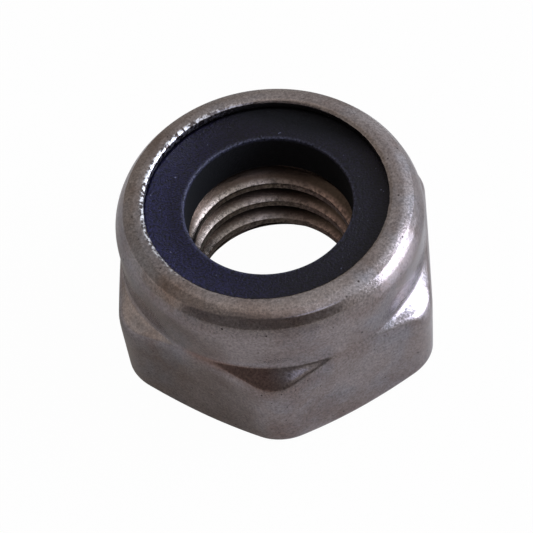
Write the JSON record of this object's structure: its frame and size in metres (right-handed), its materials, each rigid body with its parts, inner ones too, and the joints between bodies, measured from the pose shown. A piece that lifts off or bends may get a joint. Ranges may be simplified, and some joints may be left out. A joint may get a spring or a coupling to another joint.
{
  "type": "nylon insert lock nut",
  "caption": "Six-sided steel lock nut with a thin collar rolled over a nylon ring that grips the bolt's thread.",
  "frame": {"origin": "centre of the flat bearing face, on the thread axis", "axes": "+Z along the thread axis from the bearing face towards the nylon ring; one corner of the hexagon points along -Y"},
  "size_m": [0.013, 0.0144, 0.0076],
  "materials": {
    "stainless_steel": "cold-formed and barrel-polished, satin",
    "blue_nylon": "moulded polyamide, dark blue, smooth"
  },
  "bodies": {
    "root": {"nut_body": "stainless_steel", "nylon_insert": "blue_nylon"}
  },
  "joints": []
}
